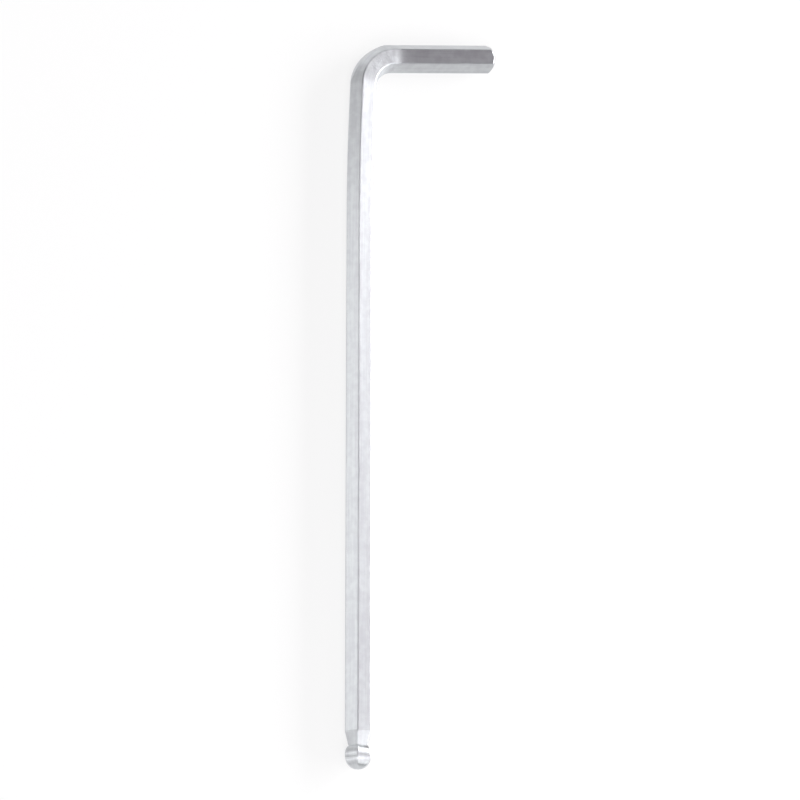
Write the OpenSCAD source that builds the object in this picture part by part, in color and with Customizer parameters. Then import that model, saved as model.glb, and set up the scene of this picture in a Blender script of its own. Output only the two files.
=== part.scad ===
// Ball-end hex key: one length of hexagon bar, cold bent into an L.
// It lies on one flat of the bar. The long arm runs along Y with the ball end at -Y, and the
// short arm points towards +X. The origin is the middle of its footprint, at table height.

/* [Bar] */
// Width across the flats, the size of screw socket that the key fits
across_flats = 4; // [2.5:0.5:8]
// How far tumbling and plating have taken back each sharp corner of the hexagon
corner_wear = 0.04; // [0.01:0.01:0.1]

/* [Arms] */
// Length along the long arm, from the tip of the ball to the back of the bend
long_arm = 116; // [80:1:200]
// Width from the back of the long arm to the middle of the short arm's end face
short_arm = 26; // [20:0.5:60]
// Length of the chamfer on the short arm's end, measured on the middle of a flat
end_chamfer = 0.4; // [0.1:0.05:0.8]

/* [Bend] */
// Angle between the two arms, a little open where the steel has sprung back
arm_angle = 97.5; // [90:0.5:100]
// Radius of the bend on its inside corner
bend_inside = 3.1; // [1:0.1:12]
// Angle that the long arm has already turned through before the tight bend begins
lead_angle = 3; // [1:0.5:6]
// Length of the gentle curve in the long arm that takes up this angle
lead_length = 22; // [8:1:40]
// Depth by which bending has drawn the outside corner flat, at the middle of the bend
back_flat = 0.36; // [0.1:0.02:0.4]
// Angle of the bend over which the outside corner is drawn flat
back_turn = 72; // [60:2:72]

/* [Ball end] */
// Length of the tapered neck, from its shoulder to the crease behind the ball
neck_length = 2.25; // [1:0.05:4]
// Depth of the neck below each flat, at the crease
neck_depth = 0.54; // [0.1:0.02:0.8]
// How much larger the curve of a ball facet is than half the width across flats
ball_ease = 0.24; // [0.04:0.02:0.6]
// Width across the small flat left on the tip of the ball
tip_flat = 1; // [0.3:0.1:1.8]

/* [Hidden] */
$fn = 96;

// Lengths are held to a thousandth of a millimetre and the long radius to a hundredth,
// so that each stretch of the bar ends exactly where the next one starts
fine_step = 1000;
coarse_step = 100;
function fine(size) = round(size * fine_step) / fine_step;
function coarse(size) = round(size * coarse_step) / coarse_step;

square_turn = 90;
half_turn = 180;
facet_turn = 60;
half_flats = across_flats / 2;
corner_radius = fine(half_flats / cos(facet_turn / 2) - corner_wear);

// The bend's two curves, measured on the centre line of the bar
bend_radius = bend_inside + corner_radius;
outside_radius = bend_radius + corner_radius;
bend_turn = half_turn - arm_angle - lead_angle;
lead_radius = coarse(lead_length / lead_angle * half_turn / PI);

// Round face left on the short arm's end, and how far the chamfer reaches back at the corners
face_radius = half_flats - end_chamfer;
chamfer_reach = corner_radius - face_radius;

// Centre line of the long arm, then the centre of the tight bend and the end of its turn
long_x = corner_radius - (short_arm - face_radius * cos(arm_angle)) / 2;
bend_x = long_x + lead_radius * (1 - cos(lead_angle)) + bend_radius * cos(lead_angle);
bend_end_x = bend_x + bend_radius * cos(arm_angle);
short_straight = fine((long_x + short_arm - corner_radius - bend_end_x) / sin(arm_angle));

// Height of the short arm's far corner above the bend's centre, which sets the middle along Y
short_rise = outside_radius * sin(arm_angle) - (short_straight - chamfer_reach) * cos(arm_angle);
bend_y = (long_arm - outside_radius - short_rise) / 2;

// Centre of the gentle curve that leads into the bend
lead_x = long_x + lead_radius;
lead_y = bend_y + (bend_radius - lead_radius) * sin(lead_angle);

// An upright cylinder, larger than the outside of the bend and set back from it, cuts the
// outside corner deepest at the middle of the bend and runs out at both ends of the turn
outside_rise = outside_radius * (1 - cos(back_turn / 2));
back_shift = back_flat * (outside_radius - back_flat / 2) / (outside_rise - back_flat);
back_radius = outside_radius - back_flat + back_shift;
back_angle = square_turn + bend_turn / 2;

// Each ball facet is an arc whose centre lies a little past the axis, on the far side
facet_radius = half_flats + ball_ease;
crease_half = half_flats - neck_depth;
crease_to_middle = sqrt(pow(facet_radius, 2) - pow(crease_half + ball_ease, 2));
middle_to_tip = sqrt(pow(facet_radius, 2) - pow(tip_flat / 2 + ball_ease, 2));
ball_middle = neck_length + crease_to_middle;
ball_end_length = fine(ball_middle + middle_to_tip);

// The neck's taper carries on inside the ball, so that the two meet in a clean crease
taper_end = neck_length + crease_to_middle / 2;
taper_end_half = half_flats - neck_depth * taper_end / neck_length;

// Straight length of the long arm
long_straight = fine(lead_y - bend_y + long_arm - outside_radius - ball_end_length);

// Moves its children in a long step and a tiny one, which together lose no digits
module place(offset) {
    long_step = [for (size = offset) coarse(size)];
    translate(long_step) translate(offset - long_step) children();
}

// Turns its children about Z in the same way, by a coarse angle and the tiny rest of it
module swing(angle) {
    turn_step = 1000000;
    coarse_angle = atan2(round(sin(angle) * turn_step), round(cos(angle) * turn_step));
    rotate([0, 0, coarse_angle]) rotate([0, 0, angle - coarse_angle]) children();
}

// Hexagon with two corners on the X axis, its sharp corners taken back by the wear
module bar_section() {
    intersection() {
        circle(r = corner_radius);
        intersection_for(turn = [0 : facet_turn : half_turn - facet_turn])
            rotate(turn) square([2 * across_flats, across_flats], center = true);
    }
}

// Bar curved round the Z axis through the given turn, from the direction of first_angle
module curved_bar(radius, first_angle, turn) {
    rotate_extrude(angle = turn, start = first_angle)
        translate([radius, half_flats]) bar_section();
}

// The tight bend round the origin, ready for a short arm along +X. Its outside corner is
// drawn flat by the stretching of the steel.
module tight_bend() {
    intersection() {
        curved_bar(bend_radius, square_turn, bend_turn);
        translate([-back_shift * cos(back_angle), -back_shift * sin(back_angle), -across_flats])
            cylinder(h = 3 * across_flats, r = back_radius);
    }
}

// Outline of the long arm across one pair of flats: X is across, Y runs from bend to tip
module facet_outline() {
    polygon([
        [-half_flats, 0],
        [half_flats, 0],
        [half_flats, long_straight],
        [taper_end_half, long_straight + taper_end],
        [-taper_end_half, long_straight + taper_end],
        [-half_flats, long_straight]
    ]);
    intersection() {
        translate([-ball_ease, long_straight + ball_middle]) circle(r = facet_radius);
        translate([ball_ease, long_straight + ball_middle]) circle(r = facet_radius);
        translate([-across_flats, 0]) square([2 * across_flats, long_straight + ball_end_length]);
    }
}

// Straight length of the long arm with its ball end, lying along -Y from the origin.
// Three outlines crossed at sixty degrees leave a ball that is hexagonal at every height,
// so it still drives the socket when the key leans over. The bar's worn corners run out on
// the shoulder and show again where the ball is widest.
module ball_arm() {
    translate([0, 0, half_flats])
        rotate([square_turn, 0, 0])
            intersection() {
                cylinder(h = long_straight + ball_end_length, r = corner_radius);
                intersection_for(turn = [0 : facet_turn : half_turn - facet_turn])
                    rotate([0, 0, turn])
                        rotate([square_turn, 0, square_turn])
                            linear_extrude(height = 2 * across_flats, center = true) facet_outline();
            }
}

// Straight length of the short arm along +X from the origin, with the chamfer turned on its end
module short_end() {
    translate([short_straight, 0, half_flats])
        rotate([square_turn, 0, -square_turn])
            intersection() {
                linear_extrude(height = short_straight) bar_section();
                cylinder(h = short_straight, r1 = face_radius, r2 = face_radius + short_straight);
            }
}

module hex_key() {
    color("lightsteelblue") union() {
        place([long_x, lead_y, 0]) ball_arm();
        place([lead_x, lead_y, 0]) curved_bar(lead_radius, half_turn - lead_angle, lead_angle);
        place([bend_x, bend_y, 0])
            swing(arm_angle - square_turn) {
                tight_bend();
                translate([0, bend_radius, 0]) short_end();
            }
    }
}

hex_key();
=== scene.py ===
# %% [markdown]
# # A ball-end hex key on a pale table
# A hex key is one length of hexagon bar, bent cold into an L. This lesson dresses the packed
# model of one: it draws the bar again as a fine mesh with its true soft corners, gives it a
# satin plated finish, and sets it under soft studio light.
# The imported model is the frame, and it is in metres. The key's own sizes are worked out in
# millimetres, as a maker would give them, and turned into metres where its points are placed.

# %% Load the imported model
import math

import bpy
from mathutils import Matrix, Vector


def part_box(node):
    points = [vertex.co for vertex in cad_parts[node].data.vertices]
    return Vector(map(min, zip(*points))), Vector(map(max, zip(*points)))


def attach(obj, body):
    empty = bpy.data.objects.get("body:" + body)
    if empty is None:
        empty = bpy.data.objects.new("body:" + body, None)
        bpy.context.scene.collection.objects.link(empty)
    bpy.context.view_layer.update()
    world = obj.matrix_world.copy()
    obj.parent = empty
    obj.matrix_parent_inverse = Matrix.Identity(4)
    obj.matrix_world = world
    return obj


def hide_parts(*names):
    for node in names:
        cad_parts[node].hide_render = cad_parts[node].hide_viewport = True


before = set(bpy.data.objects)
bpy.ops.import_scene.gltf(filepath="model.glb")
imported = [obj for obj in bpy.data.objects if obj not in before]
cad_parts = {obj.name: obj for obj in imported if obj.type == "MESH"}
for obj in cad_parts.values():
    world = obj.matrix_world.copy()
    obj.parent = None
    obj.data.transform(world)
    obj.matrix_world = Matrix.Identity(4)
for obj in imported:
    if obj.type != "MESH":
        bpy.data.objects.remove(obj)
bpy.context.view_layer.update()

# %% [markdown]
# ## The camera
# The photograph looks down on the key from the outer side of its long arm, from far away, so
# the two arms hardly converge. A long lens far back gives that. The place and the lens come
# from a fit of the model's ridges to the ridges in the picture.

# %% Set up the camera
MM = 0.001
camera_data = bpy.data.cameras.new("camera")
camera = bpy.data.objects.new("camera", camera_data)
bpy.context.scene.collection.objects.link(camera)

camera_place = Vector((-484.69, -212.91, 852.44)) * MM
camera_target = Vector((-3.496, -0.305, 2.0)) * MM
camera_roll = math.radians(0.088)
camera_data.sensor_width = 36
camera_data.lens = 288.1
camera_data.clip_end = 20

ahead = (camera_target - camera_place).normalized()
level_right = ahead.cross(Vector((0, 1, 0))).normalized()
level_up = level_right.cross(ahead)
right = math.cos(camera_roll) * level_right + math.sin(camera_roll) * level_up
up = -math.sin(camera_roll) * level_right + math.cos(camera_roll) * level_up
turn = Matrix((right, up, -ahead)).transposed()
camera.matrix_world = Matrix.Translation(camera_place) @ turn.to_4x4()
bpy.context.scene.camera = camera
bpy.context.scene.view_settings.view_transform = "Standard"
print("camera distance, m:", round((camera_target - camera_place).length, 3))

# %% [markdown]
# ## The bar's sizes
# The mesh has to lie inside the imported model, so it repeats that model's sizes in millimetres.
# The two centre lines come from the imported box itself, which keeps mesh and model together.

# %% Sizes of the bar
half_flats = 2.0
corner_radius = 2.269
half_facet = math.radians(30)
corner_reach = 1 / math.cos(half_facet)
corner_round = (half_flats * corner_reach - corner_radius) / (corner_reach - 1)

low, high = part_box("hex_key")
long_x = low[0] / MM + corner_radius
tip_y = low[1] / MM
long_arm = 116
short_arm = 26
arm_angle = math.radians(97.5)

bend_inside = 3.1
bend_radius = bend_inside + corner_radius
outside_radius = bend_radius + corner_radius
lead_angle = math.radians(3)
lead_radius = 420.17
whole_turn = math.pi - arm_angle
print("radius of the round corners, mm:", round(corner_round, 3))

# %% Centre lines of the two arms
lead_x = long_x + lead_radius
bend_x = lead_x + (bend_radius - lead_radius) * math.cos(lead_angle)
bend_y = tip_y + long_arm - outside_radius
lead_y = bend_y + (bend_radius - lead_radius) * math.sin(lead_angle)

long_heading = math.pi / 2
short_heading = long_heading - whole_turn
bend_end = Vector((bend_x - bend_radius * math.cos(whole_turn),
                   bend_y + bend_radius * math.sin(whole_turn)))
short_way = Vector((math.cos(short_heading), math.sin(short_heading)))
short_straight = (long_x + short_arm - corner_radius - bend_end.x) / short_way.x
print("bend centre:", round(bend_x, 3), round(bend_y, 3), "short straight:", round(short_straight, 3))

# %% [markdown]
# ## One slice of the bar
# Drawn hexagon bar has small round corners, and the plating leaves them smooth. A slice is
# therefore a smaller hexagon with a round pen run along it, and the pen has the radius of the
# soft corner. The outside corner is made as two half corners with a land between them, because
# the bend draws that corner flat. Every slice has the same count of points, so slices join into
# clean strips whatever their shape.

# %% Points of one slice
flat_steps = [0.02, 0.1, 0.22, 0.36, 0.5, 0.64, 0.78, 0.9, 0.98]
least_land = 0.008
half_corner_parts = 2


def slice_points(flats, rounding, land_at):
    """Points (side, up, corner mark) round one slice; side is positive on the bend's outside."""
    inner = (flats - rounding) / math.cos(half_facet)
    land_x = min(inner - least_land, land_at - rounding)
    land_z = (inner - land_x) * math.tan(math.radians(60))
    pens = [(land_x, -land_z, -30, 0), (land_x, land_z, 0, 30)]
    for place in (60, 120, 180, 240, 300):
        angle = math.radians(place)
        pens.append((inner * math.cos(angle), inner * math.sin(angle), place - 30, place + 30))
    arcs = []
    for x, z, first, last in pens:
        parts = half_corner_parts * (last - first) // 30
        arc = []
        for i in range(parts + 1):
            angle = math.radians(first + (last - first) * i / parts)
            arc.append((x + rounding * math.cos(angle), z + rounding * math.sin(angle), 1.0))
        arcs.append(arc)
    points = []
    for i, arc in enumerate(arcs):
        points += arc
        on_land = i == 0
        a, b = arc[-1], arcs[(i + 1) % len(arcs)][0]
        for step in [0.5] if on_land else flat_steps:
            mark = 1.0 if on_land else 0.0
            points.append((a[0] + (b[0] - a[0]) * step, a[1] + (b[1] - a[1]) * step, mark))
    return points


around_count = len(slice_points(half_flats, corner_round, corner_radius))
print("points round a slice:", around_count)

# %% [markdown]
# ## The ball end
# Behind the ball the bar is cut back to a tapered hexagonal neck, so that the ball can lean
# over in a screw's socket. Each facet of the ball is an arc along the key and flat across it.
# One function gives the half width across flats at any distance from the shoulder, so the neck,
# the crease and the ball are one run of slices.

# %% Profile of the ball end
neck_length = 2.25
neck_depth = 0.54
crease_flats = half_flats - neck_depth
ball_ease = 0.24
facet_radius = half_flats + ball_ease
tip_flats = 0.5
ball_middle = neck_length + math.sqrt(facet_radius ** 2 - (crease_flats + ball_ease) ** 2)
ball_end_length = ball_middle + math.sqrt(facet_radius ** 2 - (tip_flats + ball_ease) ** 2)


def ball_flats(distance):
    """Half width across flats at this distance beyond the shoulder."""
    if distance <= neck_length:
        return half_flats + (crease_flats - half_flats) * distance / neck_length
    return math.sqrt(max(facet_radius ** 2 - (distance - ball_middle) ** 2, 0)) - ball_ease


print("ball end length, mm:", round(ball_end_length, 3))

# %% [markdown]
# ## The corners of the ball end
# The neck and the ball are cut after drawing, so their corners are sharper than the bar's.
# Where the ball is widest it still has the bar's own worn corners, and the rounding grows
# there just enough to stay inside them.

# %% Rounding of the ball end's corners
cut_round = 0.1
cut_round_share = 0.2


def ball_rounding(flats):
    """Corner rounding that stays inside the bar's own round corners."""
    needed = (flats * corner_reach - corner_radius) / (corner_reach - 1)
    return max(needed, min(cut_round, cut_round_share * flats))


print("rounding at the crease and the ball's middle, mm:",
      [round(ball_rounding(flats), 3) for flats in (crease_flats, half_flats)])

# %% [markdown]
# ## The bend
# Bending stretches the steel on the outside and crowds it on the inside. The outside corner is
# drawn flat, and the top and bottom flats sink a little towards the outside. The sink fades
# out at both ends of the bend.

# %% Shape of the bend
back_flat = 0.36
back_turn = math.radians(72)
outside_rise = outside_radius * (1 - math.cos(back_turn / 2))
back_shift = back_flat * (outside_radius - back_flat / 2) / (outside_rise - back_flat)
back_radius = outside_radius - back_flat + back_shift
half_bend = (whole_turn - lead_angle) / 2
sink_reach = half_bend * 1.1


def land_distance(from_middle):
    """Distance of the drawn-flat land from the centre line, at this angle from the middle."""
    across = math.sqrt(back_radius ** 2 - (back_shift * math.sin(from_middle)) ** 2)
    return min(across - back_shift * math.cos(from_middle) - bend_radius, corner_radius)


def bend_weight(from_middle):
    """1 at the middle of the bend, falling smoothly to 0 a little beyond its ends."""
    t = min(abs(from_middle) / sink_reach, 1)
    return 0.5 + 0.5 * math.cos(math.pi * t)


print("land at the bend's middle, mm:", round(land_distance(0), 3))

# %% [markdown]
# ## The run of slices
# Each station says where a slice stands, which way the bar runs there, and its shape. Stations
# crowd together where the shape turns sharply, at the shoulder, the crease, the bend and the
# chamfer, and stand apart on the straight arms. A station also says how far bending has
# roughened the skin there, from 0 to 1.

# %% Stations along the ball end
stations = []


def add_station(x, y, heading, flats=half_flats, rounding=corner_round, land=corner_radius,
                weight=0.0, cone=None, cut=0.0, bent=0.0):
    stations.append(dict(x=x, y=y, heading=heading, flats=flats, rounding=rounding, land=land,
                         weight=weight, cone=cone, cut=cut, bent=bent))


shoulder_y = tip_y + ball_end_length
facet_start, facet_step, facet_count = 0.1, 0.08, 41
ball_distances = [ball_end_length, ball_end_length - 0.015, ball_end_length - 0.05]
ball_distances += [ball_end_length - facet_start - facet_step * i for i in range(facet_count)]
ball_distances = [d for d in ball_distances if d > neck_length + 0.06]
ball_distances += [neck_length + step for step in (0.05, 0.02, 0.0, -0.02, -0.05)]
ball_distances += [neck_length * (1 - i / 8) for i in range(1, 8)] + [0.06, 0.02, 0.0]
for distance in ball_distances:
    flats = ball_flats(distance)
    add_station(long_x, shoulder_y - distance, long_heading, flats, ball_rounding(flats), cut=1.0)
print("stations on the ball end:", len(stations))

# %% Stations along the long arm
shoulder_edge = 0.03
shoulder_behind = 0.1
long_start = shoulder_y + 0.4
add_station(long_x, shoulder_y + shoulder_edge, long_heading, cut=1.0)
add_station(long_x, shoulder_y + shoulder_behind, long_heading)
add_station(long_x, long_start, long_heading)
long_parts = 110
for i in range(1, long_parts + 1):
    add_station(long_x, long_start + (lead_y - long_start) * i / long_parts, long_heading)
lead_parts = 30
for i in range(1, lead_parts + 1):
    turned = lead_angle * i / lead_parts
    before_bend = (lead_angle - turned) * lead_radius / bend_radius
    add_station(lead_x - lead_radius * math.cos(turned), lead_y + lead_radius * math.sin(turned),
                long_heading - turned, weight=bend_weight(half_bend + before_bend))
print("stations up to the bend:", len(stations))

# %% Stations along the bend and the short arm
bend_parts = 72
peel_onset = 2.5
for i in range(1, bend_parts + 1):
    turned = lead_angle + (whole_turn - lead_angle) * i / bend_parts
    from_middle = turned - lead_angle - half_bend
    add_station(bend_x - bend_radius * math.cos(turned), bend_y + bend_radius * math.sin(turned),
                long_heading - turned, land=land_distance(from_middle),
                weight=bend_weight(from_middle), bent=min(1.0, peel_onset * i / bend_parts) ** 2)
chamfer_run = 0.75
short_parts = 36
peel_fade = 2.8
for i in range(1, short_parts + 1):
    distance = (short_straight - chamfer_run) * i / short_parts
    spot = bend_end + short_way * distance
    add_station(spot.x, spot.y, short_heading,
                weight=bend_weight(half_bend + distance / bend_radius),
                bent=max(0.0, 1 - distance / peel_fade) ** 2)
chamfer = 0.4
chamfer_distances = [0.72, 0.69, 0.66, 0.63, 0.6, 0.57, 0.54, 0.51, 0.48, 0.45, 0.42, 0.38]
chamfer_distances += [0.3, 0.2, 0.1, 0.03, 0.0]
for from_end in chamfer_distances:
    spot = bend_end + short_way * (short_straight - from_end)
    add_station(spot.x, spot.y, short_heading, cone=half_flats - chamfer + from_end, cut=1.0)
print("stations:", len(stations))

# %% [markdown]
# ## The mesh
# The slices are joined ring by ring, and each end is closed with a few smaller rings and a
# middle point. The mesh also carries what the finish needs later: a map with the distance
# along and around the bar in millimetres, a mark on the round corners, where wear polishes
# the plating, a mark on the surfaces that were cut after drawing, and a mark on the bent
# length, whose skin the bending roughens.

# %% Place a slice as a ring of points
verts, corner_marks, cut_marks, bent_marks, rings, ring_along = [], [], [], [], [], []
flat_half_width = 1.15
flat_sink = 0.1
end_shares = (0.96, 0.75, 0.5, 0.25)


def place_ring(points, station, along):
    side_way = Vector((-math.sin(station["heading"]), math.cos(station["heading"]), 0))
    ring = []
    for side, rise, mark in points:
        spot = Vector((station["x"], station["y"], half_flats)) + side * side_way
        ring.append(len(verts))
        verts.append((spot + Vector((0, 0, rise))) * MM)
        corner_marks.append(mark)
        cut_marks.append(station["cut"])
        bent_marks.append(station["bent"])
    rings.append(ring)
    ring_along.append(along)


def shaped_points(station):
    """The slice's points after the sink of the bend and the cone of the chamfer."""
    points = []
    for side, rise, mark in slice_points(station["flats"], station["rounding"], station["land"]):
        lean = min(max((side + flat_half_width) / (2 * flat_half_width), 0), 1)
        rise *= 1 - station["weight"] * flat_sink / half_flats * lean ** 2
        if station["cone"] is not None:
            reach = math.hypot(side, rise)
            if reach > station["cone"]:
                side, rise = side * station["cone"] / reach, rise * station["cone"] / reach
        points.append((side, rise, mark))
    return points


def close_end(station, along, way):
    """Smaller rings and a middle point; way is 1 at the far end of the bar and -1 at its start."""
    last = shaped_points(station)
    reach = max(math.hypot(side, rise) for side, rise, mark in last)
    for share in end_shares:
        place_ring([(side * share, rise * share, 0.0) for side, rise, mark in last], station,
                   along + way * reach * (1 - share))
    verts.append(Vector((station["x"], station["y"], half_flats)) * MM)
    corner_marks.append(0.0)
    cut_marks.append(1.0)
    bent_marks.append(0.0)
    return len(verts) - 1


along = 0.0
for i, station in enumerate(stations):
    if i:
        before = stations[i - 1]
        along += math.hypot(station["x"] - before["x"], station["y"] - before["y"])
    place_ring(shaped_points(station), station, along)
end_middle = close_end(stations[-1], along, 1)
body_rings, body_along = list(rings), list(ring_along)
rings.clear()
ring_along.clear()
tip_middle = close_end(stations[0], 0.0, -1)
rings = rings[::-1] + body_rings
ring_along = ring_along[::-1] + body_along
print("rings:", len(rings), "length along the centre line, mm:", round(along, 2))

# %% Join the rings into faces
bar_perimeter = 13.6
end_map_step = 0.4
tip_map_step = 0.1
faces, face_map = [], []
for j in range(around_count):
    k = (j + 1) % around_count
    v0, v1 = bar_perimeter * j / around_count, bar_perimeter * (j + 1) / around_count
    for i in range(len(rings) - 1):
        u0, u1 = ring_along[i], ring_along[i + 1]
        faces.append((rings[i][j], rings[i][k], rings[i + 1][k], rings[i + 1][j]))
        face_map.append(((u0, v0), (u0, v1), (u1, v1), (u1, v0)))
    u_end, u_tip = ring_along[-1], ring_along[0]
    faces.append((rings[-1][j], rings[-1][k], end_middle))
    face_map.append(((u_end, v0), (u_end, v1), (u_end + end_map_step, v0)))
    faces.append((rings[0][k], rings[0][j], tip_middle))
    face_map.append(((u_tip, v1), (u_tip, v0), (u_tip - tip_map_step, v0)))

bar_mesh = bpy.data.meshes.new("hex_key_bar")
bar_mesh.from_pydata([tuple(v) for v in verts], [], faces)
bar_map = bar_mesh.uv_layers.new(name="bar_mm")
for face, spots in zip(bar_mesh.polygons, face_map):
    for loop, spot in zip(face.loop_indices, spots):
        bar_map.data[loop].uv = spot
for name, marks in (("round_corner", corner_marks), ("cut_after", cut_marks), ("bent", bent_marks)):
    layer = bar_mesh.attributes.new(name, "FLOAT", "POINT")
    layer.data.foreach_set("value", marks)
bar_mesh.polygons.foreach_set("use_smooth", [True] * len(bar_mesh.polygons))
bar_mesh.validate()
bar_mesh.update()
key = bpy.data.objects.new("hex_key_bar", bar_mesh)
bpy.context.scene.collection.objects.link(key)
print("faces:", len(bar_mesh.polygons))

# %% [markdown]
# ## Writing shaders as sums
# A finish is easier to read as a formula than as a page of nodes. A small class wraps a socket,
# and Python's operators on it add Math nodes. One method makes every other node: it sets the
# node's own settings first, and then fills its sockets with numbers or links. A few short
# methods call it for the nodes that are wanted often.


# %% A socket that can be added and multiplied
class Wire:
    def __init__(self, bench, socket):
        self.bench = bench
        self.socket = socket

    def _math(self, operation, first, second):
        return self.bench.make("ShaderNodeMath", {"operation": operation}, {0: first, 1: second})[0]

    def __add__(self, other):
        return self._math("ADD", self, other)

    def __radd__(self, other):
        return self._math("ADD", other, self)

    def __sub__(self, other):
        return self._math("SUBTRACT", self, other)

    def __rsub__(self, other):
        return self._math("SUBTRACT", other, self)

    def __mul__(self, other):
        return self._math("MULTIPLY", self, other)

    def __rmul__(self, other):
        return self._math("MULTIPLY", other, self)


class Bench:
    """The node tree of one finish."""

    def __init__(self, tree):
        self.tree = tree
        tree.nodes.clear()

    def make(self, kind, settings=None, sockets=None):
        """Adds a node and returns its outputs as wires."""
        node = self.tree.nodes.new(kind)
        for name, value in (settings or {}).items():
            setattr(node, name, value)
        for name, value in (sockets or {}).items():
            if isinstance(value, Wire):
                self.tree.links.new(value.socket, node.inputs[name])
            else:
                node.inputs[name].default_value = value
        return [Wire(self, output) for output in node.outputs]

    def greater(self, first, second):
        return self.make("ShaderNodeMath", {"operation": "MAXIMUM"}, {0: first, 1: second})[0]

    def vector(self, operation, first, second):
        return self.make("ShaderNodeVectorMath", {"operation": operation}, {0: first, 1: second})[0]

    def scaled(self, vector, amount):
        return self.make("ShaderNodeVectorMath", {"operation": "SCALE"}, {0: vector, 3: amount})[0]

    def mix_colour(self, factor, first, second):
        return self.make("ShaderNodeMix", {"data_type": "RGBA"}, {0: factor, 6: first, 7: second})[2]

    def smooth_step(self, value, low_end, high_end):
        return self.make("ShaderNodeMapRange", {"interpolation_type": "SMOOTHSTEP"},
                         {0: value, 1: low_end, 2: high_end})[0]


# %% [markdown]
# ## The texture of the plated steel
# Drawing leaves fine lines along the bar, and plating softens them without hiding them. The
# ball and the chamfer were turned afterwards, so their lines run around the bar. The bend has
# an orange peel, because the stretched skin of the steel goes rough. Noise stretched along or
# around the bar gives the lines, and plain noise gives the peel and the mottling.

# %% Lines and mottling
steel = bpy.data.materials.new("satin_plated_steel")
steel.use_nodes = True
bench = Bench(steel.node_tree)

bar_place = bench.make("ShaderNodeUVMap", {"uv_map": "bar_mm"})[0]
run_along, run_around, _ = bench.make("ShaderNodeSeparateXYZ", None, {0: bar_place})
worn = bench.make("ShaderNodeAttribute", {"attribute_name": "round_corner"})[2]
cut = bench.make("ShaderNodeAttribute", {"attribute_name": "cut_after"})[2]
bent = bench.make("ShaderNodeAttribute", {"attribute_name": "bent"})[2]
solid_place = bench.make("ShaderNodeTexCoord")[3]


def lines(along_scale, around_scale, detail):
    """Noise on the bar's own map, with its scales per millimetre."""
    place = bench.make("ShaderNodeCombineXYZ", None,
                       {0: run_along * along_scale, 1: run_around * around_scale})[0]
    return bench.make("ShaderNodeTexNoise", None,
                      {"Vector": place, "Scale": 1.0, "Detail": detail, "Roughness": 0.55})[0]


def cloud(scale, detail):
    """Noise in space, with its scale per metre."""
    return bench.make("ShaderNodeTexNoise", None,
                      {"Vector": solid_place, "Scale": scale, "Detail": detail})[0]


drawn_lines = lines(0.12, 7.0, 2.0)
cut_lines = lines(9.0, 0.6, 2.0)
streaks = lines(0.08, 4.0, 3.0)
mottle = cloud(900.0, 4.0)
fine_peel = cloud(3500.0, 2.0)
bend_peel = cloud(700.0, 3.0)
print("nodes in the texture:", len(steel.node_tree.nodes))

# %% Height, colour and roughness
drawn_depth = 0.009
cut_depth = 0.002
fine_peel_depth = 0.0015
bend_peel_depth = 0.11
height = (drawn_lines * drawn_depth + cut_lines * cut * cut_depth + fine_peel * fine_peel_depth
          + bend_peel * bent * bend_peel_depth)
surface = bench.make("ShaderNodeBump", None, {"Strength": 1.0, "Distance": MM, "Height": height})[0]

dull_plate = (0.55, 0.56, 0.585, 1)
bright_plate = (0.63, 0.65, 0.665, 1)
worn_plate = (0.63, 0.65, 0.685, 1)
worn_share = 0.2
patch = bench.smooth_step(mottle * 0.5 + streaks * 0.5, 0.36, 0.64)
plain_tone = bench.mix_colour(patch, dull_plate, bright_plate)
tone = bench.mix_colour(worn * worn_share, plain_tone, worn_plate)

plain_roughness = 0.3
mottle_roughness = 0.08
bent_roughness = 0.2
roughness = plain_roughness + (mottle - 0.5) * mottle_roughness + bent * bent_roughness
print("plain and bent roughness:", plain_roughness, plain_roughness + bent_roughness)

# %% [markdown]
# ## The shine of the plated steel
# Drawn lines scatter light across the bar but hardly along it, which is why one arm of a real
# key shines while the other stays dark. Lines fine enough to do that would only be noise in a
# picture of this size. So the finish is a stack of five metal layers instead, like the slats of
# a fan: one faces straight out, and the others lean a little to either side round the bar.
# Mixed by their shares, they spread a highlight across the bar and leave it narrow along it.

# %% Fan the layers
bar_way = bench.make("ShaderNodeTangent", {"direction_type": "UV_MAP", "uv_map": "bar_mm"})[0]
face_way = bench.make("ShaderNodeNewGeometry")[1]
across_way = bench.vector("CROSS_PRODUCT", bar_way, face_way)

# Lean of each layer round the bar, as a slope, and its share of the whole fan
layer_leans = [(0.0, 0.52), (0.15, 0.15), (-0.15, 0.15), (0.33, 0.09), (-0.33, 0.09)]
fan, whole = None, 0.0
for lean, share in layer_leans:
    leaning = bench.vector("ADD", surface, bench.scaled(across_way, lean))
    leaning = bench.vector("NORMALIZE", leaning, (0, 0, 0))
    layer = bench.make("ShaderNodeBsdfPrincipled", None,
                       {"Base Color": tone, "Metallic": 1.0, "Roughness": roughness,
                        "Normal": leaning})[0]
    whole += share
    if fan is None:
        fan = layer
    else:
        fan = bench.make("ShaderNodeMixShader", None, {0: share / whole, 1: fan, 2: layer})[0]
bench.make("ShaderNodeOutputMaterial", None, {"Surface": fan})
bar_mesh.materials.append(steel)
print("nodes in the finish:", len(steel.node_tree.nodes))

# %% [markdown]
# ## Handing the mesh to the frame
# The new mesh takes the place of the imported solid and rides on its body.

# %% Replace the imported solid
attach(key, "root")
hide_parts("hex_key")
print("mesh, mm:", [round(d / MM, 3) for d in key.dimensions])

# %% [markdown]
# ## The table
# The background of the photograph is plain white. The table is a wide pale sheet that the lamps
# light in the plain way. To the camera and to reflections, four fifths of it is a steady white
# glow instead, which takes it to white without any more light on the key. The last fifth still
# shows the key's soft shadow.

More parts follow.
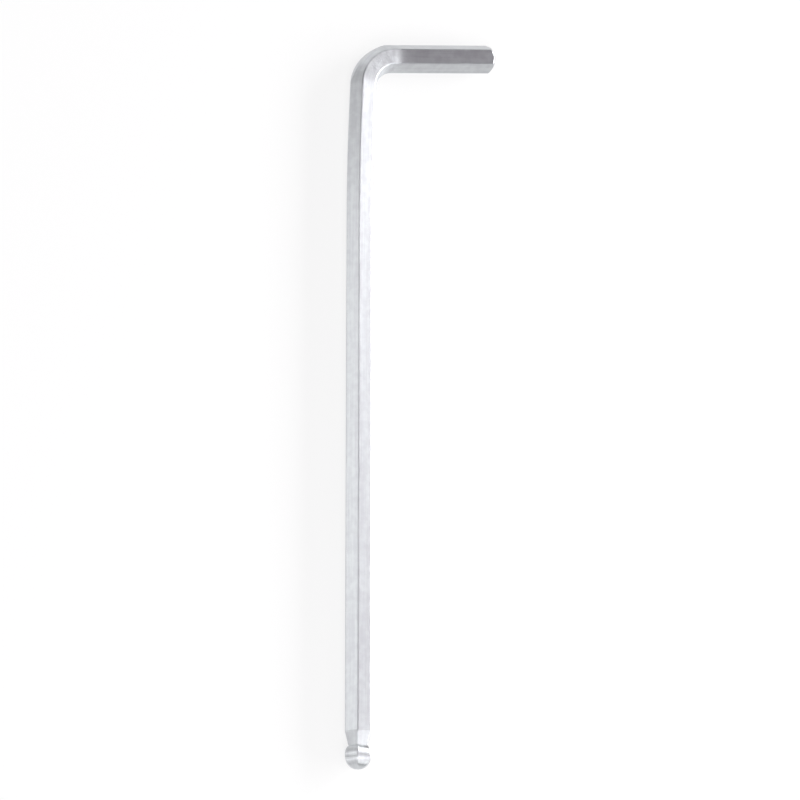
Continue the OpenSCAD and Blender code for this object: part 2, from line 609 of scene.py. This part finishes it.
# %% Make the table
table_half = 3.0
table_drop = -0.02 * MM
table_glow = 0.8
table_corners = [(-table_half, -table_half, table_drop), (table_half, -table_half, table_drop),
                 (table_half, table_half, table_drop), (-table_half, table_half, table_drop)]
table_mesh = bpy.data.meshes.new("table")
table_mesh.from_pydata(table_corners, [], [(0, 1, 2, 3)])
table = bpy.data.objects.new("table", table_mesh)
bpy.context.scene.collection.objects.link(table)

pale = bpy.data.materials.new("pale_table")
pale.use_nodes = True
bench = Bench(pale.node_tree)
ray = bench.make("ShaderNodeLightPath")
camera_ray, glossy_ray, transmission_ray = ray[0], ray[3], ray[6]
seen = bench.greater(bench.greater(camera_ray, glossy_ray), transmission_ray)
matt = bench.make("ShaderNodeBsdfDiffuse", None, {"Color": (0.9, 0.9, 0.9, 1)})[0]
glow = bench.make("ShaderNodeEmission", None, {"Color": (1, 1, 1, 1), "Strength": 1.0})[0]
sheet = bench.make("ShaderNodeMixShader", None, {0: seen * table_glow, 1: matt, 2: glow})[0]
bench.make("ShaderNodeOutputMaterial", None, {"Surface": sheet})
table_mesh.materials.append(pale)
print("rays that see the glow:", [wire.socket.name for wire in (camera_ray, glossy_ray, transmission_ray)])

# %% [markdown]
# ## The room
# Metal shows its surroundings, so the room behind the lamps matters as much as they do. It is
# dim all round, paler close to the table, and paler again overhead, where a trace of violet
# tints it. The short arm's top facet mirrors that dim ceiling and stays dark.

# %% Make the room
world = bpy.data.worlds.new("studio")
bpy.context.scene.world = world
world.use_nodes = True
bench = Bench(world.node_tree)
way = bench.make("ShaderNodeTexCoord")[0]
_, _, way_up = bench.make("ShaderNodeSeparateXYZ", None, {0: way})
level_near_table = 0.18
drop_above_table = 0.1
rise_overhead = 0.12
room_level = level_near_table - bench.smooth_step(way_up, 0.05, 0.2) * drop_above_table
room_level = room_level + bench.smooth_step(way_up, 0.6, 0.8) * rise_overhead
plain_white = (1, 1, 1, 1)
violet_white = (1, 0.87, 1, 1)
room_tint = bench.mix_colour(bench.smooth_step(way_up, 0.3, 0.7), plain_white, violet_white)
sky = bench.make("ShaderNodeBackground", None, {"Color": room_tint, "Strength": room_level})[0]
bench.make("ShaderNodeOutputWorld", None, {"Surface": sky})
print("nodes in the room:", len(world.node_tree.nodes))

# %% [markdown]
# ## Studio light
# Each lamp is placed for what one facet mirrors, and all of them face the key. A long low strip
# on the right lights the long arm's top facet through the leaning layers. A shorter strip on
# its far side adds to it near the bend, so the arm turns from white there to pale grey near the
# ball. Two boxes on the left light the outer facet of the long arm, and one behind on the left
# lights the back of the bend. One overhead and a broad one beside the camera fill in from above,
# and two small boxes in front on the right brighten the neck and the ball.

# %% Make the lamps
def soft_box(name, place, width, depth, power):
    data = bpy.data.lights.new(name, "AREA")
    data.shape = "RECTANGLE"
    data.size, data.size_y, data.energy = width, depth, power
    lamp = bpy.data.objects.new(name, data)
    bpy.context.scene.collection.objects.link(lamp)
    lamp.location = place
    lamp.rotation_euler = (-Vector(place)).to_track_quat("-Z", "Y").to_euler()
    lamp.visible_camera = False


soft_box("right_strip", (0.5, 0.06, 0.2), 0.7, 0.16, 4.1)
soft_box("right_strip_far_end", (0.5, 0.28, 0.2), 0.25, 0.16, 1.5)
soft_box("left_box", (-0.5, 0.07, 0.1), 0.2, 0.2, 0.31)
soft_box("left_front_box", (-0.45, -0.3, 0.12), 0.25, 0.2, 0.44)
soft_box("back_left_box", (-0.14, 0.52, 0.07), 0.3, 0.12, 0.4)
soft_box("overhead_box", (-0.12, 0.16, 0.6), 0.3, 0.3, 0.5)
soft_box("broad_box", (-0.2, -0.45, 0.55), 0.4, 0.3, 2.2)
soft_box("small_neck_box", (0.085, -0.125, 0.16), 0.08, 0.08, 0.03)
soft_box("small_ball_box", (0.075, -0.2, 0.09), 0.08, 0.08, 0.052)
